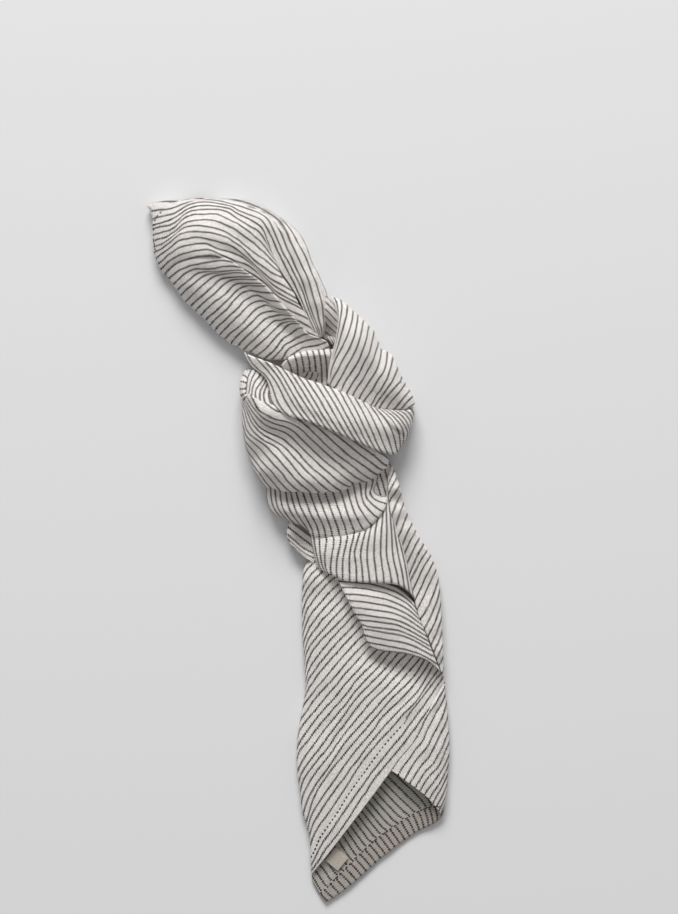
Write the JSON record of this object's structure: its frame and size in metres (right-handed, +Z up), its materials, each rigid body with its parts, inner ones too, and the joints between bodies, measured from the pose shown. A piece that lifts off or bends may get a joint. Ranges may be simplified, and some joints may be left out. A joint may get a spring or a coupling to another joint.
{
  "type": "knotted cloth napkin",
  "caption": "Striped linen napkin gathered from corner to corner and tied in a loose overhand knot, laid flat with a puffed corner above the knot and a folded open tail below.",
  "frame": {"origin": "centre of the bounding box in X and Y, on the surface that the napkin rests on", "axes": "+Y from the open tail to the puffed corner, +Z up out of the resting surface, +X to the right as seen from above"},
  "size_m": [0.1498, 0.3524, 0.0302],
  "materials": {
    "striped_linen": "off-white woven linen with fine charcoal stripes",
    "woven_label": "plain woven tape, left bare"
  },
  "bodies": {
    "root": {"napkin_cloth": "striped_linen", "label": "woven_label"}
  },
  "joints": []
}
